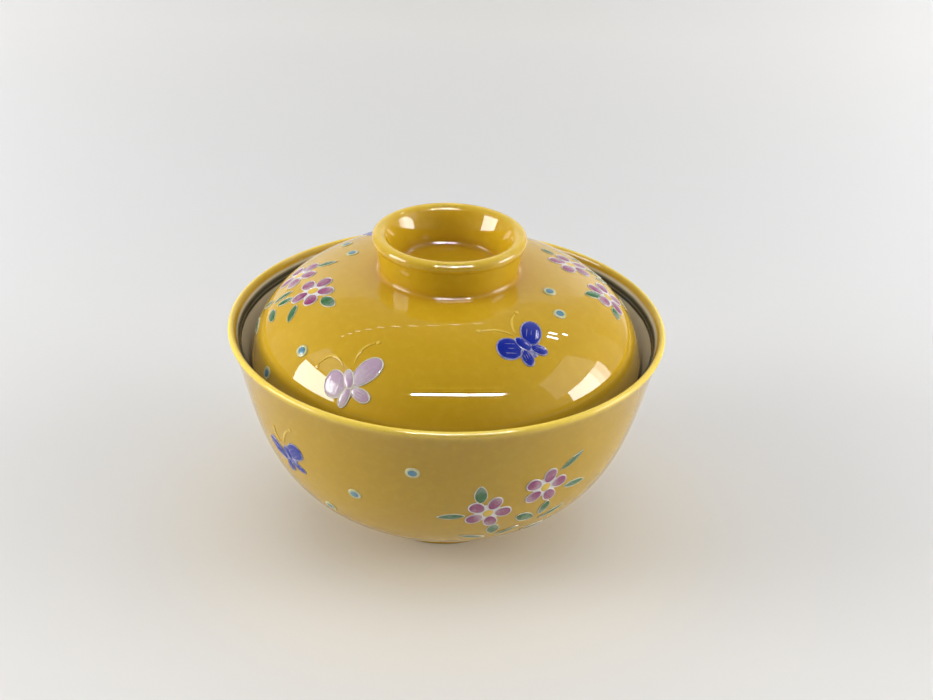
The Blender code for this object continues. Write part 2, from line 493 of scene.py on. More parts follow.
def add_grip(outline, s, base_side):
    """Adds the ring grip, from the centre of its recess over the lip and down to the fillet at its base."""
    upright = math.pi / 2
    rise = direction(upright - s.grip_recess_rise)
    flare = direction(upright - s.grip_recess_flare)
    corner = Vector((s.grip_recess_radius, s.grip_floor_height))
    floor_edge = corner - Vector((s.grip_softening, 0))
    wall_foot = corner + s.grip_softening * rise
    crest = Vector((s.grip_crest_radius, s.grip_height))
    inside, outside = s.grip_lip_inside, s.grip_radius - s.grip_crest_radius
    inner_lip = arc(crest - Vector((0, inside)), inside, math.pi - s.grip_recess_flare, upright)
    outer_lip = arc(crest - Vector((0, outside)), outside, upright, -s.grip_lip_undercut)
    wall_low = wall_foot + s.grip_recess_reach * rise
    wall_high = inner_lip[0] - s.grip_recess_reach * flare
    drawn_in = outer_lip[-1] + s.grip_draw * direction(-upright - s.grip_lip_undercut)
    standing = base_side + s.grip_stand * direction(upright - s.grip_lean)
    outline.add([Vector((0, s.grip_floor_height))])
    outline.add(softened(floor_edge, corner, wall_foot), thin=-1)
    outline.add(curve(wall_foot, wall_low, wall_high, inner_lip[0])[1:-1])
    outline.add(inner_lip[:-1] + outer_lip, "grip", thin=1)
    outline.add(curve(outer_lip[-1], drawn_in, standing, base_side)[1:-1])


# Node trees


def feed(tree, slot, value):
    """Gives a node's input a fixed value or another node's output."""
    source = getattr(value, "socket", value)
    if isinstance(source, bpy.types.NodeSocket):
        tree.links.new(source, slot)
    else:
        slot.default_value = source


def add_node(tree, kind, inputs=None, **settings):
    """Adds a node with its settings and inputs, beside the last one."""
    node = tree.nodes.new(kind)
    column, row = divmod(len(tree.nodes), NODES_IN_COLUMN)
    node.location = (NODE_COLUMN * column, -NODE_ROW * row)
    for name, value in settings.items():
        setattr(node, name, value)
    for name, value in (inputs or {}).items():
        feed(tree, node.inputs[name], value)
    return node


class Formula:
    """A number in a node tree, so that a rule can be written as it would be on paper."""

    def __init__(self, tree, socket):
        self.tree = tree
        self.socket = socket

    def apply(self, operation, *others):
        """The result of a maths node on this number and others."""
        node = add_node(self.tree, "ShaderNodeMath", operation=operation)
        for slot, value in zip(node.inputs, (self, *others)):
            feed(self.tree, slot, value)
        return Formula(self.tree, node.outputs[0])

    def __add__(self, other):
        return self.apply("ADD", other)

    def __sub__(self, other):
        return self.apply("SUBTRACT", other)

    def __mul__(self, other):
        return self.apply("MULTIPLY", other)

    def __truediv__(self, other):
        return self.apply("DIVIDE", other)

    def __pow__(self, other):
        return self.apply("POWER", other)

    def sine(self):
        return self.apply("SINE")

    def cosine(self):
        return self.apply("COSINE")

    def floor(self):
        return self.apply("FLOOR")

    def absolute(self):
        return self.apply("ABSOLUTE")

    def above(self, limit):
        """This number, or the limit where that is larger."""
        return self.apply("MAXIMUM", limit)

    def below(self, limit):
        """This number, or the limit where that is smaller."""
        return self.apply("MINIMUM", limit)

    def ramp(self, low, high, start=0.0, end=1.0):
        """A smooth step from one value to another as this number passes a range."""
        node = add_node(self.tree, "ShaderNodeMapRange", interpolation_type="SMOOTHSTEP")
        for slot, value in zip(node.inputs, (self, low, high, start, end)):
            feed(self.tree, slot, value)
        return Formula(self.tree, node.outputs[0])


def attribute(tree, name):
    """A named number of the geometry, in a geometry tree."""
    node = add_node(tree, "GeometryNodeInputNamedAttribute", {"Name": name}, data_type="FLOAT")
    return Formula(tree, node.outputs["Attribute"])


def stored(tree, geometry, name, value):
    """Geometry with a named number kept on its points."""
    inputs = {"Geometry": geometry, "Name": name, "Value": value}
    node = add_node(tree, "GeometryNodeStoreNamedAttribute", inputs, data_type="FLOAT", domain="POINT")
    return node.outputs["Geometry"]


def moved(tree, geometry, x, y, z):
    """Geometry with its points put at the given place."""
    place = add_node(tree, "ShaderNodeCombineXYZ", {"X": x, "Y": y, "Z": z})
    inputs = {"Geometry": geometry, "Position": place.outputs[0]}
    return add_node(tree, "GeometryNodeSetPosition", inputs).outputs[0]


def wrapped_grid(tree, rows, spokes):
    """A grid to be rolled up, with each point's row and its turn from nothing to a full circle."""
    across = Formula(tree, spokes) + 1
    grid = add_node(tree, "GeometryNodeMeshGrid", {"Vertices X": rows, "Vertices Y": across})
    index = Formula(tree, add_node(tree, "GeometryNodeInputIndex").outputs[0])
    row = ((index + 0.5) / across).floor()
    around = (index - row * across) / spokes * TAU
    return grid.outputs["Mesh"], row, around


def new_tree(name, sockets):
    """An empty geometry tree with named inputs, and its input node."""
    tree = bpy.data.node_groups.new(name, "GeometryNodeTree")
    for label, kind in sockets.items():
        tree.interface.new_socket(label, in_out="INPUT", socket_type=kind)
    tree.interface.new_socket("Geometry", in_out="OUTPUT", socket_type="NodeSocketGeometry")
    return tree, tree.nodes.new("NodeGroupInput").outputs


def close_tree(tree, geometry, merge, finish):
    """Ends a geometry tree: seams closed, shaded smooth, real geometry with its material."""
    welded = add_node(tree, "GeometryNodeMergeByDistance", {"Geometry": geometry, "Distance": merge})
    smooth = add_node(tree, "GeometryNodeSetShadeSmooth", {"Geometry": welded.outputs[0]})
    real = add_node(tree, "GeometryNodeRealizeInstances", {"Geometry": smooth.outputs[0]})
    inputs = {"Geometry": real.outputs[0], "Material": finish}
    clad = add_node(tree, "GeometryNodeSetMaterial", inputs)
    end = add_node(tree, "NodeGroupOutput")
    tree.links.new(clad.outputs[0], end.inputs[0])
    return tree


def turned_tree():
    """Turns an outline about Z, and keeps its run and thinness on the surface."""
    sockets = {
        "Outline": "NodeSocketGeometry",
        "Facets": "NodeSocketInt",
        "Finish": "NodeSocketMaterial",
    }
    tree, start = new_tree("Turned Form", sockets)
    count = add_node(tree, "GeometryNodeAttributeDomainSize", {"Geometry": start["Outline"]})
    mesh, row, around = wrapped_grid(tree, count.outputs["Point Count"], start["Facets"])

    def sampled(value, data_type):
        inputs = {"Geometry": start["Outline"], "Value": value, "Index": row}
        return add_node(tree, "GeometryNodeSampleIndex", inputs, data_type=data_type).outputs[0]

    for name in ("run", "thin"):
        mesh = stored(tree, mesh, name, sampled(attribute(tree, name), "FLOAT"))
    place = sampled(add_node(tree, "GeometryNodeInputPosition").outputs[0], "FLOAT_VECTOR")
    parts = add_node(tree, "ShaderNodeSeparateXYZ", {0: place}).outputs
    radius = Formula(tree, parts["X"])
    mesh = moved(tree, mesh, radius * around.cosine(), radius * around.sine(), parts["Z"])
    return close_tree(tree, mesh, BODY_MERGE, start["Finish"])


SIZE_NUMBERS = ("angle", "run", "spin", "length", "width", "point", "taper", "bow")
DAB_NUMBERS = (*SIZE_NUMBERS, "rise", "edge", "tone", "soak")
PROFILE_SOCKETS = ("Start", "Start Handle", "End Handle", "End")


def dab_tree(name, is_edge):
    """Lays rounded touches of enamel, or the slip round them, on a surface turned from a cubic curve."""
    sockets = {
        "Dabs": "NodeSocketGeometry",
        "Spokes": "NodeSocketInt",
        "Rows": "NodeSocketInt",
        "Bedding": "NodeSocketFloat",
        **{label: "NodeSocketVector" for label in PROFILE_SOCKETS},
        "Finish": "NodeSocketMaterial",
    }
    tree, start = new_tree(name, sockets)
    mesh, row, around = wrapped_grid(tree, Formula(tree, start["Rows"]) + 1, start["Spokes"])
    mesh = stored(tree, mesh, "turn", around)
    mesh = stored(tree, mesh, "step", row / start["Rows"])
    points = add_node(tree, "GeometryNodeMeshToPoints", {"Mesh": start["Dabs"]}).outputs[0]
    copies = add_node(tree, "GeometryNodeInstanceOnPoints", {"Points": points, "Instance": mesh})
    mesh = add_node(tree, "GeometryNodeRealizeInstances", {"Geometry": copies.outputs[0]}).outputs[0]

    dab = {key: attribute(tree, key) for key in DAB_NUMBERS}
    turned_by = attribute(tree, "turn")
    if is_edge:
        around_edge = attribute(tree, "step") * TAU
        reach = None
        spread = around_edge.cosine() * dab["edge"] * -0.5
        swell = around_edge.sine()
    else:
        over_pool = attribute(tree, "step") * math.pi
        reach = over_pool.sine()
        spread = None
        swell = over_pool.cosine()
    height = swell.above(0) ** POOL_FULLNESS * dab["rise"] + swell.below(0) * start["Bedding"]

    def half(extent):
        """Half an extent of the dab, shrunk towards its middle in a pool or spread across an edge."""
        return dab[extent] * 0.5 + spread if is_edge else dab[extent] * 0.5 * reach

    along = turned_by.cosine()
    across = turned_by.sine()
    across = across * across.absolute().above(LEAST_WIDTH) ** dab["point"] * (along * dab["taper"] + 1)
    x = half("length") * along
    offset = x / dab["length"] * 2
    y = half("width") * across + (offset * offset * -1 + 1) * dab["bow"]
    spin_cosine = dab["spin"].cosine()
    spin_sine = dab["spin"].sine()
    right = x * spin_cosine - y * spin_sine
    up = x * spin_sine + y * spin_cosine

    profile = {label: start[label] for label in PROFILE_SOCKETS}
    profile["Resolution"] = PROFILE_STEPS
    path = add_node(tree, "GeometryNodeCurvePrimitiveBezierSegment", profile, mode="POSITION")
    inputs = {"Curves": path.outputs[0], "Length": dab["run"] - up}
    sample = add_node(tree, "GeometryNodeSampleCurve", inputs, mode="LENGTH", use_all_curves=True)
    place = add_node(tree, "ShaderNodeSeparateXYZ", {0: sample.outputs["Position"]}).outputs
    tangent = add_node(tree, "ShaderNodeSeparateXYZ", {0: sample.outputs["Tangent"]}).outputs
    angle = dab["angle"] + right / Formula(tree, place["X"])
    radius = Formula(tree, place["X"]) - height * Formula(tree, tangent["Z"])
    level_z = Formula(tree, place["Z"]) + height * Formula(tree, tangent["X"])
    mesh = stored(tree, mesh, "along", offset * 0.5 + 0.5)
    mesh = stored(tree, mesh, "swell", swell)
    mesh = moved(tree, mesh, radius * angle.sine(), radius * angle.cosine() * -1, level_z)
    return close_tree(tree, mesh, DAB_MERGE, start["Finish"])


def input_key(tree, label):
    """Identifier of a tree's input, by its name."""
    return next(item.identifier for item in tree.interface.items_tree if item.name == label)


def made_by(tree, name, mesh, values):
    """Runs a tree on a mesh once, and returns the result as an object with a plain mesh."""
    piece = bpy.data.objects.new(name, mesh)
    bpy.context.scene.collection.objects.link(piece)
    modifier = piece.modifiers.new(tree.name, "NODES")
    modifier.node_group = tree
    for label, value in values.items():
        modifier[input_key(tree, label)] = value
    graph = bpy.context.evaluated_depsgraph_get()
    result = bpy.data.meshes.new_from_object(
        piece.evaluated_get(graph), preserve_all_data_layers=True, depsgraph=graph
    )
    piece.modifiers.remove(modifier)
    piece.data = result
    result.name = name
    bpy.data.meshes.remove(mesh)
    return piece


def add_numbers(mesh, name, values, kind="FLOAT"):
    """Keeps a number, or a colour, on each point of a mesh."""
    layer = mesh.attributes.new(name, kind, "POINT")
    for item, value in zip(layer.data, values):
        if kind == "FLOAT":
            item.value = value
        else:
            item.color = (*value, 1.0)


# Finishes


VECTOR = "NodeSocketVector"
NUMBER = "NodeSocketFloat"
COLOUR = "NodeSocketColor"


def new_group(name, inputs):
    """An empty shader group with named inputs, which puts out a colour, a roughness and a ripple."""
    group = bpy.data.node_groups.new(name, "ShaderNodeTree")
    outputs = {"Colour": COLOUR, "Roughness": NUMBER, "Ripple": NUMBER}
    for in_out, sockets in (("INPUT", inputs), ("OUTPUT", outputs)):
        for label, kind in sockets.items():
            group.interface.new_socket(label, in_out=in_out, socket_type=kind)
    return group, group.nodes.new("NodeGroupInput").outputs, group.nodes.new("NodeGroupOutput").inputs


def noise(tree, vector, scale, detail=2.0):
    """Soft cloudy noise between nothing and one."""
    inputs = {"Vector": vector, "Scale": scale, "Detail": detail}
    return Formula(tree, add_node(tree, "ShaderNodeTexNoise", inputs).outputs[0])


def mixed(tree, factor, first, second):
    """A mix of two colours."""
    node = add_node(tree, "ShaderNodeMix", data_type="RGBA")
    feed(tree, node.inputs[0], factor)
    feed(tree, node.inputs[6], first)
    feed(tree, node.inputs[7], second)
    return node.outputs[2]


def solid(rgb, brightness=1.0):
    """A colour setting with its alpha, dimmed if asked."""
    return (*(brightness * part for part in rgb), 1.0)


def kiln_group():
    """Fired glaze: soft drift of tone, iron specks, thin edges, pooled hollows and a faint ripple."""
    inputs = {
        "Vector": VECTOR,
        "Even": COLOUR,
        "Thin Colour": COLOUR,
        "Pooled Colour": COLOUR,
        "Thinness": NUMBER,
    }
    group, start, end = new_group("Kiln Glaze", inputs)
    vector = start["Vector"]
    cloud = noise(group, vector, GLAZE_CLOUD, 3.0)
    grain = noise(group, vector, GLAZE_GRAIN)
    thinness = Formula(group, start["Thinness"])
    thin = thinness + (grain - 0.5) * GRAIN_IN_THINNESS
    # Paler where the glaze is thin; with the yellow's thin colour this is partly a painted highlight on the
    # lips.
    paler = mixed(group, thin.above(0).below(1), start["Even"], start["Thin Colour"])
    deeper = mixed(group, (thin * -1).above(0).below(1), paler, start["Pooled Colour"])
    drift = (cloud - 0.5) * GLAZE_DRIFT
    drifted = mixed(group, drift.above(0), deeper, start["Thin Colour"])
    drifted = mixed(group, (drift * -1).above(0), drifted, start["Pooled Colour"])
    speck = noise(group, vector, GLAZE_SPECK, 1.0).ramp(*SPECK_RANGE, 0.0, SPECK_STRENGTH)
    specked = mixed(group, speck, drifted, start["Pooled Colour"])
    feed(group, end["Colour"], specked)
    on_edge = (thinness.absolute() * EDGE_ROUGHNESS).below(MOST_EDGE_ROUGHNESS)
    feed(group, end["Roughness"], grain * GRAIN_ROUGHNESS + GLAZE_ROUGHNESS + on_edge)
    feed(group, end["Ripple"], noise(group, vector, GLAZE_RIPPLE, 1.0) + grain * GRAIN_IN_RIPPLE)
    return group


def brush_group():
    """Brushed enamel: a load that deepens along the dab, streaks, and a thin pale margin."""
    inputs = {
        "Vector": VECTOR,
        "Deep": COLOUR,
        "Pale": COLOUR,
        "Along": NUMBER,
        "Swell": NUMBER,
        "Tone": NUMBER,
        "Paleness": NUMBER,
    }
    group, start, end = new_group("Brushed Enamel", inputs)
    patch = noise(group, start["Vector"], BRUSH_PATCH)
    streak = noise(group, start["Vector"], BRUSH_STREAK)
    tone = Formula(group, start["Tone"])
    along = Formula(group, start["Along"])
    slope = (along - 0.5) * (tone - 0.5) * LOAD_SLOPE
    load = slope + patch * LOAD_PATCHES + (streak - 0.5) * LOAD_STREAKS
    pale = load.ramp(*PALE_RANGE) * start["Paleness"]
    margin = Formula(group, start["Swell"]).ramp(*MARGIN_RANGE, MARGIN_PALENESS, 0.0)
    shade = mixed(group, pale.above(margin), start["Deep"], start["Pale"])
    feed(group, end["Colour"], shade)
    feed(group, end["Roughness"], (patch + 1) * ENAMEL_ROUGHNESS)
    feed(group, end["Ripple"], patch + streak * STREAKS_IN_RIPPLE)
    return group


def once(name, build):
    """A node group, built when it is first asked for."""
    return bpy.data.node_groups.get(name) or build()


def new_material(name, ior=GLAZE_IOR):
    """An empty material with a glossy shader, and its Object coordinates."""
    material = bpy.data.materials.new(name)
    material.use_nodes = True
    tree = material.node_tree
    shader = tree.nodes["Principled BSDF"]
    shader.inputs["IOR"].default_value = ior
    vector = add_node(tree, "ShaderNodeTexCoord").outputs["Object"]
    return material, tree, shader, vector


def surface_number(tree, name):
    """A named number of the surface, in a material."""
    return Formula(tree, add_node(tree, "ShaderNodeAttribute", attribute_name=name).outputs["Fac"])


def placed_group(tree, group, inputs):
    """A shader group in a material, with its own values."""
    node = add_node(tree, "ShaderNodeGroup", node_tree=group)
    for name, value in inputs.items():
        feed(tree, node.inputs[name], value)
    return node.outputs


def placed_glaze(tree, vector, thinness, even, thin, pooled):
    """The fired glaze in a material, with its own colours."""
    inputs = {
        "Vector": vector,
        "Even": solid(even),
        "Thin Colour": solid(thin),
        "Pooled Colour": solid(pooled),
        "Thinness": thinness,
    }
    return placed_group(tree, once("Kiln Glaze", kiln_group), inputs)


def glaze_pair(tree, vector, palette, even, thinning):
    """A yellow and the white glaze, placed in one material."""
    thinness = surface_number(tree, "thin") * thinning
    # The thin yellow over the lips is partly a painted highlight.
    yellow = placed_glaze(tree, vector, thinness, even, palette.yellow_thin_and_highlight, palette.yellow_pooled)
    white = placed_glaze(tree, vector, thinness, palette.white, palette.white, palette.white_pooled)
    return yellow, white


def glossed(tree, shader, look, relief):
    """Gives a shader the colour, roughness and faint relief of a look."""
    bump = add_node(tree, "ShaderNodeBump", {"Height": look["Ripple"], "Distance": relief})
    feed(tree, shader.inputs["Base Color"], look["Colour"])
    feed(tree, shader.inputs["Roughness"], look["Roughness"])
    feed(tree, shader.inputs["Normal"], bump.outputs[0])


class RimLine(NamedTuple):
    """A line painted inside the rim, placed by its run from the lip's crest."""

    run: float
    width: float
    soft: float
    strength: float


RIM_LINES = (
    RimLine(-5.1 * MM, 2.7 * MM, soft=0.4 * MM, strength=0.78),
    RimLine(-4.8 * MM, 1.0 * MM, soft=0.2 * MM, strength=0.9),
    RimLine(-6.05 * MM, 0.8 * MM, soft=0.2 * MM, strength=0.9),
)


def wavering(tree, vector, fineness, reach):
    """A small wandering offset along the half section."""
    return (noise(tree, vector, fineness) - 0.5) * reach


def bowl_glaze(palette, land_start, land_end):
    """Yellow outside, darker than the lid's as painted shade and paler over the lip as partly a painted
    highlight, white inside with a dark double line below the lip, and a bare land on the foot.
    """
    material, tree, shader, vector = new_material("bowl_glaze", BOWL_IOR)
    # The bowl's even yellow is painted shade: the lid's glaze darkened.
    yellow, white = glaze_pair(tree, vector, palette, palette.bowl_yellow_shaded, BOWL_THINNING)
    run = surface_number(tree, "run")
    waver = wavering(tree, vector, RIM_WAVER, 2.4 * MM)
    inside = (run + waver).ramp(BOWL_YELLOW_END - WHITE_FADE, BOWL_YELLOW_END + YELLOW_FADE, 1.0, 0.0)
    past_land = (run + waver * 0.3).ramp(land_end - LAND_FADE, land_end + LAND_FADE)
    shade = mixed(tree, inside.above(past_land), yellow["Colour"], white["Colour"])
    brushed = run + wavering(tree, vector, LINE_WAVER, 0.22 * MM)
    for line in RIM_LINES:
        half = line.width / 2
        paint = (brushed - line.run).absolute().ramp(half - line.soft, half + line.soft, line.strength, 0.0)
        shade = mixed(tree, paint, shade, solid(palette.line))
    half_land = (land_end - land_start) / 2
    from_land = (run - (land_start + half_land)).absolute()
    bare = from_land.ramp(half_land - LAND_FADE, half_land + LAND_FADE / 2, 1.0, 0.0)
    grit = noise(tree, vector, BARE_GRIT, 3.0)
    shade = mixed(tree, bare, shade, mixed(tree, grit, solid(palette.bare), solid(palette.bare, 0.86)))
    roughness = bare * BARE_ROUGHNESS + Formula(tree, yellow["Roughness"])
    look = {"Colour": shade, "Roughness": roughness, "Ripple": yellow["Ripple"]}
    glossed(tree, shader, look, GLAZE_RELIEF)
    return material


def lid_glaze(palette):
    """Yellow over the dome and round the edge, white underneath."""
    material, tree, shader, vector = new_material("lid_glaze")
    yellow, white = glaze_pair(tree, vector, palette, palette.yellow, LID_THINNING)
    run = surface_number(tree, "run") + wavering(tree, vector, EDGE_WAVER, 1.2 * MM)
    under = run.ramp(LID_YELLOW_END - YELLOW_FADE, LID_YELLOW_END + WHITE_FADE)
    shade = mixed(tree, under, yellow["Colour"], white["Colour"])
    look = {"Colour": shade, "Roughness": yellow["Roughness"], "Ripple": yellow["Ripple"]}
    glossed(tree, shader, look, GLAZE_RELIEF)
    return material


def trail_glaze(palette):
    """Yellow glaze drawn thin over a trailed line."""
    material, tree, shader, vector = new_material("trail_glaze")
    thinness = surface_number(tree, "swell").above(0) * TRAIL_THINNING
    colours = (palette.yellow, palette.yellow_thin_and_highlight, palette.yellow_pooled)
    glossed(tree, shader, placed_glaze(tree, vector, thinness, *colours), TRAIL_RELIEF)
    return material


class Ink(NamedTuple):
    """An enamel: its slot, how much of it lies pale, and the share of slip that shows through there."""

    slot: str
    paleness: float
    slip_share: float


INKS = {
    "pink": Ink("pink_enamel", 0.85, 0.42),
    "green": Ink("green_enamel", 0.75, 0.36),
    "blue": Ink("blue_enamel", 0.25, 0.13),
    "lilac": Ink("lilac_enamel", 0.85, 0.6),
    "turquoise": Ink("turquoise_enamel", 0.5, 0.35),
}


def enamel(ink, palette):
    """Glossy brushed enamel of one colour."""
    slot, paleness, slip_share = INKS[ink]
    material, tree, shader, vector = new_material(slot)
    deep = Vector(getattr(palette, ink))
    pale = deep.lerp(Vector(palette.slip), slip_share)
    inputs = {"Vector": vector, "Deep": solid(deep), "Pale": solid(pale), "Paleness": paleness}
    for label in ("Along", "Swell", "Tone"):
        inputs[label] = surface_number(tree, label.lower())
    brushed = placed_group(tree, once("Brushed Enamel", brush_group), inputs)
    glossed(tree, shader, brushed, ENAMEL_RELIEF)
    return material


def slip_finish(palette):
    """White slip that takes a breath of the enamel it holds."""
    material, tree, shader, vector = new_material("white_slip")
    tint = add_node(tree, "ShaderNodeAttribute", attribute_name="tint").outputs["Color"]
    cloud = noise(tree, vector, SLIP_CLOUD)
    breath = cloud.ramp(0.3, 0.75, 0.75, 1.2) * surface_number(tree, "soak")
    shade = mixed(tree, breath, solid(palette.slip), tint)
    look = {"Colour": shade, "Roughness": (cloud + 1) * SLIP_ROUGHNESS, "Ripple": cloud}
    glossed(tree, shader, look, SLIP_RELIEF)
    return material


# Ornament


class Dab(NamedTuple):
    """One touch of enamel, slip or trailed glaze on a turned surface."""

    angle: float
    run: float
    spin: float
    length: float
    width: float
    point: float = 0.0
    taper: float = 0.0
    bow: float = 0.0
    rise: float = 0.0
    edge: float = 0.0
    tone: float = 0.0
    soak: float = 0.0
    tint: tuple = (1.0, 1.0, 1.0)


class WingTrim(NamedTuple):
    """Slip of a butterfly: the stain its edges take, how much of it, and how much ink its veins take."""

    stain: str
    soak: float
    vein_soak: float


WING_TRIMS = {"blue": WingTrim("blue", 0.7, 0.88), "lilac": WingTrim("ring", 0.4, 0.45)}


class Painter:
    """Collects the dabs of one body by colour, on the surface turned from a cubic curve."""

    def __init__(self, wall, sizes, palette):
        points = curve(*wall, PROFILE_STEPS)
        self.wall = wall
        self.sizes = sizes
        self.palette = palette
        self.radii = [point.x for point in points]
        self.steps = [0.0]
        for before, after in zip(points, points[1:]):
            self.steps.append(self.steps[-1] + (after - before).length)
        self.pools = {}
        self.edges = []
        self.touches = 0

    def radius(self, run):
        """Radius of the surface at a run."""
        for i, step in enumerate(self.steps[1:]):
            if run <= step:
                part = (run - self.steps[i]) / (step - self.steps[i])
                return self.radii[i] + (self.radii[i + 1] - self.radii[i]) * part
        return self.radii[-1]

    def shifted(self, place, x, y):
        """A place moved right and up over the surface."""
        run = place[1] - y
        return place[0] + x / self.radius(run), run

    def pool(self, ink, place, heading, length, width, **shape):
        """Lays one pool of enamel with its middle at a place."""
        self.touches += 1
        shape.setdefault("rise", self.sizes.pool_rise)
        shape.setdefault("tone", (self.touches * TONE_STEP) % 1.0)
        dab = Dab(*place, heading, length, width, **shape)
        self.pools.setdefault(ink, []).append(dab)
        return dab

    def edged(self, ink, place, heading, length, width, edge=1.0, soak=0.1, stain=None, **shape):
        """Lays a pool with raised slip round it, which soaks up a share of its colour or of a stain."""
        dab = self.pool(ink, place, heading, length, width, **shape)
        tint = tuple(getattr(self.palette, stain or ink))
        slip = {"rise": self.sizes.edge_rise, "edge": edge * self.sizes.edge_width}
        self.edges.append(dab._replace(**slip, soak=soak, tint=tint))

    def flower(self, place, heading):
        """Five petals round an ochre heart, on a ground of white slip."""
        s = self.sizes
        self.pool("slip", place, heading, s.flower_ground, s.flower_ground, rise=GROUND_RISE * s.edge_rise)
        heart = {"rise": HEART_RISE * s.edge_rise}
        self.pool("yellow", place, heading, s.flower_heart, 0.85 * s.flower_heart, **heart)
        for petal in range(PETALS):
            spoke = heading + petal * TAU / PETALS
            stretch = 1 + 0.06 * math.sin(2.4 * petal + heading)
            middle = self.shifted(place, *(s.petal_reach * direction(spoke)))
            self.edged("pink", middle, spoke, s.petal_length * stretch, s.petal_width / stretch, taper=0.12)

    def leaf(self, place, x, y, heading, length, width):
        """A brushed leaf along a heading, from its base, which is placed from a flower's centre."""
        spin = math.radians(heading)
        middle = self.shifted(place, *(Vector((x, y)) * MM + length / 2 * MM * direction(spin)))
        length = length * MM + LEAF_SPREAD
        width = width * MM + LEAF_SPREAD
        point = BROAD_POINT if width > BROAD_LEAF * length else SLIM_POINT
        slip = {"edge": 0.7, "soak": 0.5, "stain": "ring"}
        self.edged("green", middle, spin, length, width, point=point, taper=-0.1, **slip)

    def spray(self, place, heading, leaves):
        """A flower at a heading with its leaves round it, in millimetres and degrees."""
        self.flower(place, math.radians(heading))
        for leaf in leaves:
            self.leaf(place, *leaf)

    def butterfly(self, ink, place, body, wings, feelers):
        """Veined wings about a body, with trailed feelers; everything is placed from the body's middle."""
        trim = WING_TRIMS[ink]
        slip = {"stain": trim.stain, "soak": trim.soak}
        tint = tuple(getattr(self.palette, ink))
        spin = math.radians(body[0])
        length, width = body[1] * MM, body[2] * MM
        ground = {"rise": WING_GROUND_RISE * self.sizes.edge_rise, "soak": 0.8, "tint": tint}
        below = self.shifted(place, *(length / 4 * direction(spin)))
        self.pool("slip", below, spin, 1.4 * length, 2.1 * width, **ground)
        vein = {"rise": VEIN_RISE * self.sizes.pool_rise, "soak": trim.vein_soak, "tint": tint}
        for x, y, heading, reach, breadth in wings:
            middle = self.shifted(place, x * MM, y * MM)
            wing = math.radians(heading)
            self.edged(ink, middle, wing, reach * MM, breadth * MM, taper=0.15, **slip)
            self.veins(middle, wing, reach * MM, breadth * MM, vein)
        for line in feelers:
            self.feeler(place, *line)
        self.edged(ink, place, spin, length, width, rise=BODY_RISE * self.sizes.pool_rise, **slip)

    def veins(self, middle, spin, length, width, shape):
        """Fine raised veins side by side along a wing."""
        for part in VEIN_PLACES:
            place = self.shifted(middle, *(part * width * direction(spin + math.pi / 2)))
            self.pool("slip", place, spin, VEIN_LENGTH * length, VEIN_WIDTH, **shape)

    def feeler(self, place, start, bend, end):
        """A trailed line through three points, ending in a bead."""
        start, bend, end = (Vector(point) * MM for point in (start, bend, end))
        chord = end - start
        middle = (start + end) / 2
        spin = math.atan2(chord.y, chord.x)
        bow = (bend - middle).dot(Vector((-chord.y, chord.x)).normalized())
        width = self.sizes.trail_width
        rise = TRAIL_RISE * self.sizes.pool_rise
        self.pool("trail", self.shifted(place, *middle), spin, chord.length, width, bow=bow, rise=rise)
        self.pool("trail", self.shifted(place, *end), spin, 1.6 * width, 1.5 * width, rise=rise)

    def dot(self, place):
        """A round drop ringed with slip."""
        width = self.sizes.dot
        self.edged("turquoise", place, 0.0, width, 0.9 * width, edge=2.7, soak=0.85, stain="ring")


def at(angle, run):
    """A place from an angle in degrees and a run in millimetres."""
    return math.radians(angle), run * MM


def paint_bowl(painter):
    """Two flowers, a butterfly and dots on the front of the wall, and the same on the back."""
    low_leaves = (
        (-2.6, 5.2, 94, 6.4, 3.0),
        (-6.6, -0.6, 184, 7.2, 1.8),
        (2.6, -7.0, -88, 5.6, 3.0),
        (-6.0, -13.2, -18, 7.4, 1.3),
    )
    high_leaves = (
        (4.2, 5.6, 36, 7.6, 1.7),
        (7.0, -2.6, -6, 7.6, 2.1),
        (2.6, -7.4, -98, 5.8, 2.4),
        (-5.9, -11.2, -30, 6.0, 3.4),
        (2.7, -16.4, 27, 8.2, 1.4),
        (-0.6, -24.0, 21, 6.8, 1.3),
        (-9.4, -22.0, 34, 7.0, 1.2),
    )
    wings = (
        (-5.0, -0.8, 142, 8.2, 4.0),
        (3.4, 1.9, 40, 7.6, 5.6),
        (-0.7, -5.0, -94, 4.8, 2.7),
        (3.4, -3.9, -20, 5.2, 2.0),
    )
    feelers = (((-0.7, 3.0), (0.5, 6.9), (4.2, 10.7)), ((-2.6, 2.6), (-4.2, 4.6), (-4.6, 7.0)))
    for side in (0, 180):
        painter.spray(at(side + 13.0, 31.5), 69, low_leaves)
        painter.spray(at(side + 29.0, 24.5), 81, high_leaves)
        painter.butterfly("blue", at(side - 48.0, 23.3), (-62, 4.8, 2.6), wings, feelers)
        for angle, run in ((-7.7, 14.7), (-24.9, 28.1), (-37.4, 40.7)):
            painter.dot(at(side + angle, run))


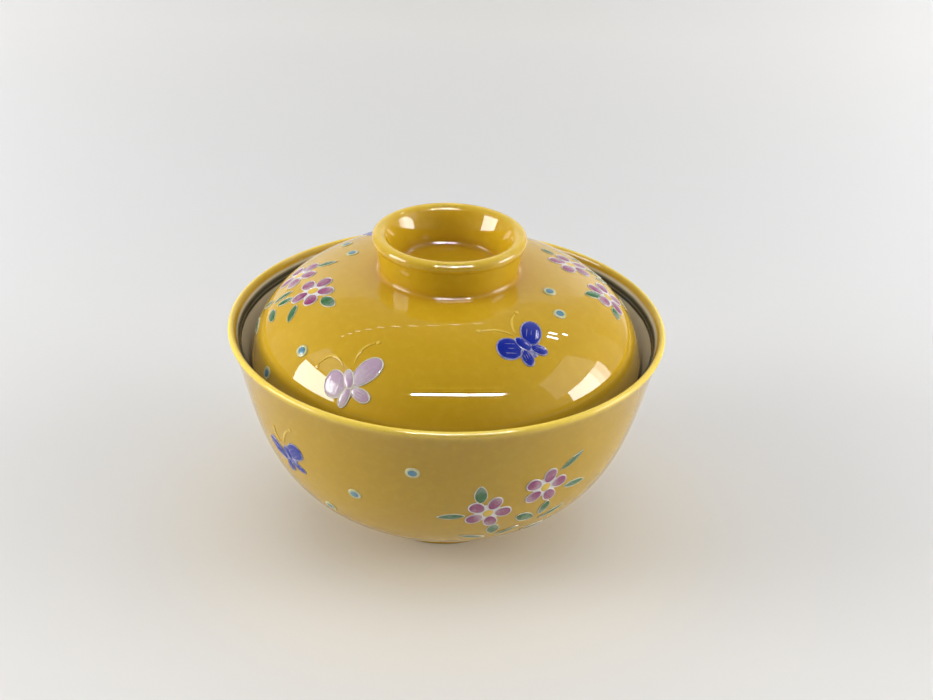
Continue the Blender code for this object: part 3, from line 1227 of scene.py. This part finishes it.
def paint_lid_sprays(painter):
    """A pair of flowers on the left of the dome and a pair on the right."""
    left_near = (
        (5.9, 1.7, 6, 6.0, 3.1),
        (2.9, -6.2, -42, 6.0, 2.0),
        (-2.6, -6.6, -112, 5.4, 1.9),
        (-7.2, -6.4, -96, 7.0, 1.5),
        (-5.1, -14.2, -4, 5.6, 2.4),
        (-11.1, -14.3, -120, 4.6, 1.7),
        (-14.0, -22.2, -4, 8.4, 2.0),
    )
    left_far = ((-1.5, 6.2, 100, 5.6, 1.6),)
    right_far = (
        (6.0, 3.0, 23, 4.1, 1.6),
        (7.2, -4.5, -82, 3.0, 1.8),
        (0.8, -6.6, -93, 5.4, 1.5),
        (-3.7, -8.5, -69, 5.0, 1.5),
    )
    right_near = (
        (-1.9, 2.7, 132, 6.7, 2.8),
        (-5.0, -2.2, 208, 4.2, 2.4),
        (10.0, -8.4, -101, 3.7, 2.2),
    )
    painter.spray(at(-76.1, 20.3), 49, left_near)
    painter.spray(at(-96.3, 25.6), 58, left_far)
    painter.spray(at(107.6, 18.6), 79, right_far)
    painter.spray(at(90.0, 28.5), 90, right_near)


def paint_lid(painter):
    """Flower sprays on opposite sides of the dome, with butterflies and dots between them."""
    paint_lid_sprays(painter)
    lilac_wings = (
        (-3.5, -2.4, -66, 7.7, 6.8),
        (4.1, 3.2, 58, 10.4, 5.8),
        (0.6, -5.0, -104, 6.0, 2.8),
        (4.8, -3.2, -14, 6.2, 3.4),
    )
    lilac_feelers = (((-0.4, 4.4), (-0.2, 9.3), (2.9, 12.6)), ((-2.6, 2.2), (-8.3, 4.4), (-11.3, -0.1)))
    blue_wings = (
        (-4.3, -0.5, 165, 7.4, 7.0),
        (4.0, 2.6, 53, 9.2, 5.8),
        (-0.9, -4.2, -88, 5.4, 3.2),
        (3.4, -2.8, -42, 5.4, 3.0),
    )
    blue_feelers = (((-0.4, 3.6), (1.0, 8.6), (4.4, 11.2)), ((-0.9, 3.4), (-4.8, 6.5), (-9.7, 7.2)))
    for side in (0, 180):
        lilac_place, blue_place = at(side - 30.1, 34.9), at(side + 29.9, 22.3)
        painter.butterfly("lilac", lilac_place, (-63, 5.4, 3.0), lilac_wings, lilac_feelers)
        painter.butterfly("blue", blue_place, (-65, 5.4, 3.2), blue_wings, blue_feelers)
        for angle, run in ((-51.4, 33.6), (-62.0, 45.7), (69.3, 10.9), (56.4, 18.0)):
            painter.dot(at(side + angle, run))


def ink_finish(ink, body, palette):
    """Slot of an ink on a body, and its finish, which is made when it is first asked for."""
    made = bpy.data.materials
    if ink in INKS:
        slot = INKS[ink].slot
        return slot, made.get(slot) or enamel(ink, palette)
    if ink == "slip":
        return "white_slip", made.get("white_slip") or slip_finish(palette)
    return f"{body}_glaze", made.get("trail_glaze") or trail_glaze(palette)


def dab_mesh(name, dabs):
    """Points that carry the dabs' numbers and tints."""
    mesh = bpy.data.meshes.new(name)
    mesh.from_pydata([(0, 0, 0)] * len(dabs), [], [])
    for key in DAB_NUMBERS:
        add_numbers(mesh, key, [getattr(dab, key) for dab in dabs])
    add_numbers(mesh, "tint", [dab.tint for dab in dabs], "FLOAT_COLOR")
    return mesh


def lay_dabs(body, painter, height, palette):
    """Lays a body's enamels, slip and trails, one piece for each finish."""
    lift = Vector((0, height))
    ends = [Vector((point.x, 0, point.y)) for point in (end + lift for end in painter.wall)]
    profile = dict(zip(PROFILE_SOCKETS, ends))
    pool_tree = once("Enamel Pool", lambda: dab_tree("Enamel Pool", False))
    edge_tree = once("Slip Edge", lambda: dab_tree("Slip Edge", True))

    def lay(tree, ink, name, dabs, rows):
        slot, finish = ink_finish(ink, body, palette)
        values = {"Spokes": POOL_SPOKES, "Rows": rows, "Bedding": painter.sizes.bedding, "Finish": finish}
        piece = made_by(tree, name, dab_mesh(name, dabs), {**values, **profile})
        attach(piece, body)

    for ink, dabs in painter.pools.items():
        lay(pool_tree, ink, f"{body}_{ink}", dabs, POOL_ROWS)
    lay(edge_tree, "slip", f"{body}_slip_edges", painter.edges, EDGE_ROWS)


def turned_piece(name, outline, origin, node, material):
    """A glazed body turned from its outline, standing in for its node."""
    runs = outline.runs(origin)
    mesh = bpy.data.meshes.new(name)
    mesh.from_pydata([(point.x, 0, point.y) for point in outline.points], [], [])
    add_numbers(mesh, "run", runs)
    add_numbers(mesh, "thin", outline.thinness(runs, THIN_REACH))
    tree = once("Turned Form", turned_tree)
    piece = made_by(tree, name, mesh, {"Facets": BODY_FACETS, "Finish": material})
    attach(piece, node)
    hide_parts(node)


# Stage


def paper_finish(studio):
    """Matt paper with a faint unevenness, lighter towards its sides, with painted bounce light round the
    foot, a painted shadow under it, and painted shade behind the bowl and in front of the view.
    """
    material, tree, shader, vector = new_material("sweep_paper", PAPER_IOR)
    drift = noise(tree, vector, PAPER_CLOUD, 3.0)
    shade = mixed(tree, drift, solid(studio.floor), solid(studio.floor, 0.97))
    place = add_node(tree, "ShaderNodeSeparateXYZ", {0: vector}).outputs
    length = add_node(tree, "ShaderNodeVectorMath", {0: vector}, operation="LENGTH").outputs["Value"]
    near = Formula(tree, length)
    aside = Formula(tree, place["X"]) / ASIDE_LIGHT_REACH
    behind = (Formula(tree, place["Y"]) - BEHIND_SHADE_PLACE) / BEHIND_SHADE_REACH
    ahead = Formula(tree, place["Y"]).ramp(*AHEAD_SHADE_FADE, 0.9, 0.0)
    # Painted warm bounce light on the paper round the foot.
    shade = mixed(tree, near.ramp(*NEAR_BOUNCE_FADE, 1.0, 0.0), shade, solid(studio.floor_near_bounce))
    # Painted shadow, tinted by the bowl's yellow, under the foot.
    shade = mixed(tree, near.ramp(*UNDER_SHADE_FADE, 1.0, 0.0), shade, solid(studio.floor_under_shade))
    # Painted shade in a band just behind the bowl.
    shade = mixed(tree, (behind * behind * -1 + 1).above(0), shade, solid(studio.floor_behind_shade))
    # Painted light: the paper grows lighter towards its sides.
    shade = mixed(tree, (aside * aside).below(1), shade, solid(studio.floor_aside_light))
    # Painted shade: dark paper in front of the view.
    shade = mixed(tree, ahead, shade, solid(studio.floor_ahead_shade))
    feed(tree, shader.inputs["Base Color"], shade)
    shader.inputs["Roughness"].default_value = PAPER_ROUGHNESS
    return material


def paper_sweep(studio):
    """Paper that lies under the bowl and turns up behind it."""
    bend_centre = Vector((studio.sweep_depth - studio.sweep_bend, studio.sweep_bend))
    profile = [Vector((-studio.sweep_front, 0))]
    profile += arc(bend_centre, studio.sweep_bend, -math.pi / 2, 0)
    profile.append(Vector((studio.sweep_depth, studio.sweep_height)))
    half = studio.sweep_width / 2
    points = [(side, point.x, point.y) for point in profile for side in (-half, half)]
    faces = [(2 * i, 2 * i + 1, 2 * i + 3, 2 * i + 2) for i in range(len(profile) - 1)]
    mesh = bpy.data.meshes.new("paper_sweep")
    mesh.from_pydata(points, [], faces)
    mesh.shade_smooth()
    mesh.materials.append(paper_finish(studio))
    paper = bpy.data.objects.new("paper_sweep", mesh)
    bpy.context.scene.collection.objects.link(paper)


class Lamp(NamedTuple):
    """A rectangular lamp, which takes a share of the glow in its setting and leans in its own plane."""

    setting: str
    place: tuple
    facing: tuple
    width: float
    height: float
    share: float = 1.0
    lean: float = 0.0


LEFTWARDS = (-1, 0, 0)
RIGHTWARDS = (1, 0, 0)
DOWNWARDS = (0, 0, -1)
FAR_LAMPS = 10
FAR_LEFT = Vector((-1.065, 0.648, 1.6))
FAR_RIGHT = Vector((0.19, 1.13, 1.6))
FAR_PLACES = [FAR_LEFT.lerp(FAR_RIGHT, i / (FAR_LAMPS - 1)) for i in range(FAR_LAMPS)]

# Soft panels at the sides, in three widths on the right, and the dim hoods above them
PANELS = (
    Lamp("left_panel", (-0.78, -0.15, 0.336), RIGHTWARDS, 0.44, 0.333, lean=0.22),
    Lamp("right_panel", (0.78, -0.074, 0.234), LEFTWARDS, 0.288, 0.26, share=1.1),
    Lamp("right_panel", (0.78, 0.105, 0.234), LEFTWARDS, 0.07, 0.26, share=0.75),
    Lamp("right_panel", (0.78, 0.181, 0.234), LEFTWARDS, 0.082, 0.26, share=0.5),
    Lamp("left_hood", (-0.78, -0.084, 0.714), RIGHTWARDS, 0.504, 0.36, lean=0.22),
    Lamp("right_hood", (0.78, -0.079, 0.583), LEFTWARDS, 0.54, 0.432),
)

# Small bright lamps that only glint in the glaze
GLINTS = (
    Lamp("tube", (0.178, -0.885, 1.2), (-0.043, 0.6, -0.8), 1.19, 0.006),
    *(Lamp("far_lamps", place, DOWNWARDS, 0.07, 0.02) for place in FAR_PLACES),
    Lamp("right_lamps", (1.03, 0.909, 1.6), DOWNWARDS, 0.16, 0.03),
    Lamp("right_lamps", (1.067, 0.794, 1.6), DOWNWARDS, 0.22, 0.03),
    Lamp("right_lamps", (1.286, 0.986, 1.6), DOWNWARDS, 0.12, 0.03),
)

# Broad lamps that light the matt surfaces and are not seen in the glaze
WASHES = (
    Lamp("left_wall", (-0.62, 0.55, 0.36), RIGHTWARDS, 2.1, 0.6),
    Lamp("right_wall", (0.62, 0.55, 0.36), LEFTWARDS, 2.1, 0.6),
    Lamp("roof", (0, 0.3, 1.3), DOWNWARDS, 1.4, 1.4),
)


def hung(lamp, studio):
    """A lamp of even glow, hung in the scene."""
    glow = lamp.share * getattr(studio, lamp.setting)
    data = bpy.data.lights.new(lamp.setting, "AREA")
    data.shape = "RECTANGLE"
    data.size = lamp.width
    data.size_y = lamp.height
    data.energy = glow * math.pi * lamp.width * lamp.height
    light = bpy.data.objects.new(lamp.setting, data)
    light.location = lamp.place
    turned = Vector(lamp.facing).to_track_quat("-Z", "Y") @ Quaternion((0, 0, 1), lamp.lean)
    light.rotation_euler = turned.to_euler()
    bpy.context.scene.collection.objects.link(light)
    return light


def view_camera(studio):
    """The camera, standing and turned as the view asks."""
    yaw, tilt, roll = studio.camera_yaw, studio.camera_tilt, studio.camera_roll
    forward = Vector((math.sin(yaw) * math.cos(tilt), math.cos(yaw) * math.cos(tilt), -math.sin(tilt)))
    right = Vector((math.cos(yaw), -math.sin(yaw), 0))
    up = right.cross(forward)
    leaned_right = math.cos(roll) * right + math.sin(roll) * up
    leaned_up = math.cos(roll) * up - math.sin(roll) * right
    data = bpy.data.cameras.new("view")
    data.lens = studio.lens
    data.sensor_width = SENSOR_WIDTH
    camera = bpy.data.objects.new("view", data)
    turned = Matrix((leaned_right, leaned_up, -forward)).transposed()
    camera.matrix_world = Matrix.Translation(studio.camera_place) @ turned.to_4x4()
    bpy.context.scene.collection.objects.link(camera)
    bpy.context.scene.camera = camera


def surroundings(studio):
    """A plain room that glows by its own measure on each side."""
    world = bpy.data.worlds.new("surroundings")
    world.use_nodes = True
    tree = world.node_tree
    heading = add_node(tree, "ShaderNodeTexCoord").outputs["Generated"]
    parts = add_node(tree, "ShaderNodeSeparateXYZ", {0: heading}).outputs
    x, y, z = (Formula(tree, part) for part in parts)
    glow = z.above(0) ** 2 * studio.room_top
    for part, strength in ((x, studio.room_right), (y, studio.room_back)):
        glow = glow + part.above(0) ** 2 * strength
    for part, strength in ((x, studio.room_left), (y, studio.room_front)):
        glow = glow + (part * -1).above(0) ** 2 * strength
    background = tree.nodes["Background"]
    background.inputs["Color"].default_value = (1.0, 1.0, 1.0, 1.0)
    feed(tree, background.inputs["Strength"], glow)
    return world


# Operators


class PORCELAIN_OT_turn_bowl(bpy.types.Operator):
    """Turn and glaze the bowl"""

    bl_idname = "porcelain.turn_bowl"
    bl_label = "Turn Bowl"

    def execute(self, context):
        settings = context.scene.porcelain
        outline = bowl_outline(settings.bowl)
        runs = outline.runs("lip")
        land = [runs[outline.marks[mark]] for mark in ("land_start", "land_end")]
        finish = bowl_glaze(settings.palette, *land)
        turned_piece("bowl_body", outline, "lip", "bowl", finish)
        return {"FINISHED"}


class PORCELAIN_OT_turn_lid(bpy.types.Operator):
    """Turn and glaze the lid"""

    bl_idname = "porcelain.turn_lid"
    bl_label = "Turn Lid"

    def execute(self, context):
        settings = context.scene.porcelain
        finish = lid_glaze(settings.palette)
        turned_piece("lid_body", lid_outline(settings.lid), "edge", "lid", finish)
        return {"FINISHED"}


class PORCELAIN_OT_enamel_bowl(bpy.types.Operator):
    """Lay the raised enamels on the bowl's wall"""

    bl_idname = "porcelain.enamel_bowl"
    bl_label = "Enamel Bowl"

    def execute(self, context):
        settings = context.scene.porcelain
        painter = Painter(bowl_wall(settings.bowl), settings.enamel, settings.palette)
        paint_bowl(painter)
        lay_dabs("bowl", painter, 0.0, settings.palette)
        return {"FINISHED"}


class PORCELAIN_OT_enamel_lid(bpy.types.Operator):
    """Lay the raised enamels on the lid's dome"""

    bl_idname = "porcelain.enamel_lid"
    bl_label = "Enamel Lid"

    def execute(self, context):
        settings = context.scene.porcelain
        painter = Painter(lid_dome(settings.lid), settings.enamel, settings.palette)
        paint_lid(painter)
        lay_dabs("lid", painter, settings.lid.seat_height, settings.palette)
        return {"FINISHED"}


class PORCELAIN_OT_lay_stage(bpy.types.Operator):
    """Lay the paper sweep and set the lamps and the camera"""

    bl_idname = "porcelain.lay_stage"
    bl_label = "Lay Stage"

    def execute(self, context):
        studio = context.scene.porcelain.studio
        paper_sweep(studio)
        for lamp in PANELS:
            hung(lamp, studio)
        for lamp in GLINTS:
            hung(lamp, studio).visible_diffuse = False
        for lamp in WASHES:
            hung(lamp, studio).visible_glossy = False
        context.scene.world = surroundings(studio)
        context.scene.view_settings.view_transform = "Standard"
        view_camera(studio)
        return {"FINISHED"}


class PORCELAIN_PT_workshop(bpy.types.Panel):
    """Lists the steps and settings of the lidded bowl"""

    bl_label = "Lidded Porcelain Bowl"
    bl_idname = "PORCELAIN_PT_workshop"
    bl_space_type = "VIEW_3D"
    bl_region_type = "UI"
    bl_category = "Porcelain"

    def draw(self, context):
        steps = self.layout.column(align=True)
        for step in STEPS:
            steps.operator(step.bl_idname)
        settings = context.scene.porcelain
        for group in (settings.bowl, settings.lid, settings.enamel, settings.palette, settings.studio):
            box = self.layout.box()
            for name in group.__annotations__:
                box.prop(group, name)


STEPS = (
    PORCELAIN_OT_turn_bowl,
    PORCELAIN_OT_turn_lid,
    PORCELAIN_OT_enamel_bowl,
    PORCELAIN_OT_enamel_lid,
    PORCELAIN_OT_lay_stage,
)
CLASSES = (BowlSizes, LidSizes, EnamelSizes, Palette, Studio, Porcelain, *STEPS, PORCELAIN_PT_workshop)


def register():
    for item in CLASSES:
        bpy.utils.register_class(item)
    bpy.types.Scene.porcelain = PointerProperty(type=Porcelain)


def unregister():
    del bpy.types.Scene.porcelain
    for item in reversed(CLASSES):
        bpy.utils.unregister_class(item)


def main():
    register()
    bpy.ops.porcelain.turn_bowl()
    bpy.ops.porcelain.turn_lid()
    bpy.ops.porcelain.enamel_bowl()
    bpy.ops.porcelain.enamel_lid()
    bpy.ops.porcelain.lay_stage()


if __name__ == "__main__":
    main()
